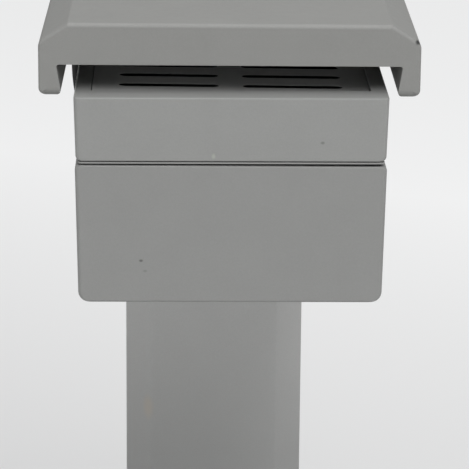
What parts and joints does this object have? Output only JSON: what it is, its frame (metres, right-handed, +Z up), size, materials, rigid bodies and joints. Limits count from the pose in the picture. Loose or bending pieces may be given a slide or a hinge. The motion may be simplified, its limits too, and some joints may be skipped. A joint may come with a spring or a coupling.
{
  "type": "overhead projector",
  "caption": "Overhead projector with a reflective stage, a lamp and lens head focused up and down its column, and a hinged mirror lid over the head.",
  "frame": {"origin": "centre of the base's footprint, on the surface that the feet stand on", "axes": "+Z up, +X to the right as seen from the front of the head, +Y from the front to the column at the back"},
  "size_m": [0.36, 0.43, 0.543],
  "materials": {
    "pale_grey_plastic": "satin, fine orange-peel texture",
    "mid_grey_plastic": "satin, fine orange-peel texture",
    "grey_painted_metal": "satin paint",
    "cast_aluminium": "painted casting",
    "black_plastic": "fine matt texture",
    "black_anodised": "black anodised",
    "rubber": "matt",
    "steel": "bright drawn",
    "galvanised_steel": "zinc plated",
    "brass": "cut and drawn",
    "clear_glass": "polished",
    "mirror": "silvered",
    "ceramic": "unglazed",
    "nylon": "natural nylon"
  },
  "bodies": {
    "base": {"base_cover": "pale_grey_plastic", "base_tray": "mid_grey_plastic", "column_back_cover": "grey_painted_metal", "column_cap": "black_plastic", "column_core": "steel", "column_front_shell": "pale_grey_plastic", "column_plinth": "pale_grey_plastic", "column_socket": "galvanised_steel", "focus_rack": "steel", "foot_back_left": "rubber", "foot_back_right": "rubber", "foot_front_left": "rubber", "foot_front_right": "rubber", "fresnel_mirror": "mirror", "fuse_holder": "black_plastic", "mains_inlet": "black_plastic", "rear_panel": "grey_painted_metal", "stage_frame": "black_plastic", "stage_glass": "clear_glass", "stage_pan": "galvanised_steel", "switch_bezel": "black_plastic", "transformer": "steel"},
    "head": {"neck_casting": "cast_aluminium", "carriage_back_plate": "grey_painted_metal", "guide_shoe_left": "nylon", "guide_shoe_right": "nylon", "head_lower_shell": "mid_grey_plastic", "head_upper_shell": "pale_grey_plastic", "vent_plate": "grey_painted_metal", "exit_window": "clear_glass", "chassis_plate": "galvanised_steel", "thermal_cutout": "ceramic", "terminal_block": "nylon", "lens_barrel": "black_anodised", "lens_lower_element": "clear_glass", "lens_upper_element": "clear_glass", "lens_retaining_ring": "black_anodised", "lamp_bulb": "clear_glass", "lamp_socket": "ceramic", "lamp_bracket": "galvanised_steel", "lamp_reflector": "mirror", "lamp_window": "clear_glass", "condenser_ring": "galvanised_steel", "condenser_lens": "clear_glass", "fan_frame": "black_plastic", "hinge_bracket_left": "steel", "hinge_bracket_right": "steel", "hinge_pin_left": "steel", "hinge_pin_right": "steel"},
    "focus_shaft": {"pinion": "brass", "pinion_shaft": "steel", "focus_knob_left": "black_plastic", "focus_knob_right": "black_plastic"},
    "lid": {"lid_shell": "pale_grey_plastic", "lid_mirror": "mirror", "mirror_frame": "black_plastic", "friction_washer_left": "nylon", "friction_washer_right": "nylon"},
    "fan": {"fan_impeller": "black_plastic"},
    "rocker": {"power_rocker": "black_plastic"}
  },
  "joints": [
    {"name": "focus_slide", "type": "slide", "parent": "base", "child": "head", "axis": [0, 0, 1], "range_m": [-0.025, 0.025]},
    {"name": "focus_turn", "type": "hinge", "parent": "head", "child": "focus_shaft", "pos_m": [-0.0045, 0.12255, 0.466], "axis": [1, 0, 0], "range_deg": [-160, 160]},
    {"name": "lid_tilt", "type": "hinge", "parent": "head", "child": "lid", "pos_m": [0, 0.056, 0.525], "axis": [-1, 0, 0], "range_deg": [0, 65]},
    {"name": "fan_spin", "type": "hinge", "parent": "head", "child": "fan", "pos_m": [-0.065, -0.08, 0.4317], "axis": [1, 0, 0], "continuous": true},
    {"name": "power_switch", "type": "hinge", "parent": "base", "child": "rocker", "pos_m": [0.146, -0.199, 0.0613], "axis": [0, 1, 0], "range_deg": [-8, 8]}
  ],
  "couplings": [
    {"joint": "focus_turn", "follows": "focus_slide", "rad_per_m": -111.11}
  ]
}
